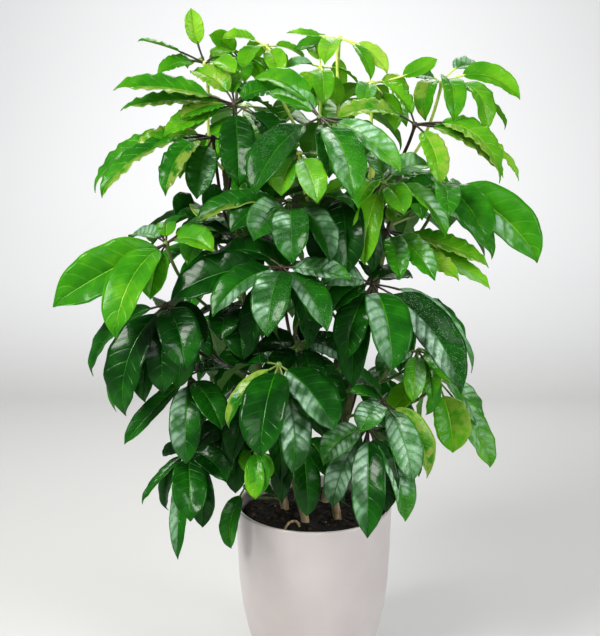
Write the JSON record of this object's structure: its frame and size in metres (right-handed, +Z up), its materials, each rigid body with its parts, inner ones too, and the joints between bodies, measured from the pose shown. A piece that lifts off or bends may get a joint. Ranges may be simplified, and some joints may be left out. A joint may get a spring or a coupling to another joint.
{
  "type": "potted umbrella plant",
  "caption": "Bushy umbrella plant with palmate leaves on upright canes in a white tapered floor pot filled with soil.",
  "frame": {"origin": "middle of the pot's flat underside, which stands on the floor", "axes": "+Z up along the canes, +X to the viewer's right, the side that the picture shows towards -Y"},
  "size_m": [0.7387, 0.6711, 1.135],
  "materials": {
    "glazed_pot": "smooth white satin glaze",
    "potting_soil": "damp dark crumbs",
    "cane_bark": "dry tan bark with leaf scars",
    "young_leaf": "thin bright yellow-green leaf with a soft gloss",
    "fresh_leaf": "mid green leaf with a soft gloss",
    "grown_leaf": "dark green leaf with a waxy gloss",
    "old_leaf": "deep bluish green leaf with a waxy gloss"
  },
  "bodies": {
    "root": {"pot": "glazed_pot", "soil": "potting_soil", "cane_front_left": "cane_bark", "cane_front_right": "cane_bark", "cane_left": "cane_bark", "cane_back": "cane_bark", "leaf_top_left": "young_leaf", "leaf_upper_left": "fresh_leaf", "leaf_left_long": "fresh_leaf", "leaf_top_mid_left": "young_leaf", "leaf_top_small": "young_leaf", "leaf_crown": "young_leaf", "leaf_crown_low": "young_leaf", "leaf_crown_right": "young_leaf", "leaf_front_top": "fresh_leaf", "leaf_right_upper": "fresh_leaf", "leaf_right_top": "young_leaf", "leaf_mid_left": "fresh_leaf", "leaf_left_dark": "grown_leaf", "leaf_small_bright": "fresh_leaf", "leaf_middle": "grown_leaf", "leaf_right_arched": "fresh_leaf", "leaf_right": "fresh_leaf", "leaf_right_waved": "fresh_leaf", "leaf_left_bright": "fresh_leaf", "leaf_centre": "grown_leaf", "leaf_lower_left": "old_leaf", "leaf_right_centre": "grown_leaf", "leaf_right_low": "grown_leaf", "leaf_right_backlit": "young_leaf", "leaf_right_lower": "old_leaf", "leaf_front_right": "old_leaf", "leaf_front_big": "old_leaf", "leaf_front_inner": "old_leaf", "leaf_front_young": "fresh_leaf", "leaf_left_low": "old_leaf", "leaf_left_lowest": "old_leaf", "leaf_over_rim": "old_leaf", "leaf_inner_left": "old_leaf", "leaf_inner_high": "grown_leaf", "leaf_inner_low": "old_leaf", "leaf_low_centre": "old_leaf", "leaf_low_left": "old_leaf", "leaf_back_top_left": "fresh_leaf", "leaf_back_top": "fresh_leaf", "leaf_back_top_right": "fresh_leaf", "leaf_back_left": "grown_leaf", "leaf_back_mid_left": "grown_leaf", "leaf_back_right": "grown_leaf", "leaf_back_mid_right": "grown_leaf", "leaf_back_low_left": "grown_leaf", "leaf_back_centre": "old_leaf", "leaf_back_low_right": "old_leaf", "leaf_back_side": "old_leaf", "leaf_back_lower": "old_leaf", "leaf_back_lowest": "old_leaf"}
  },
  "joints": []
}
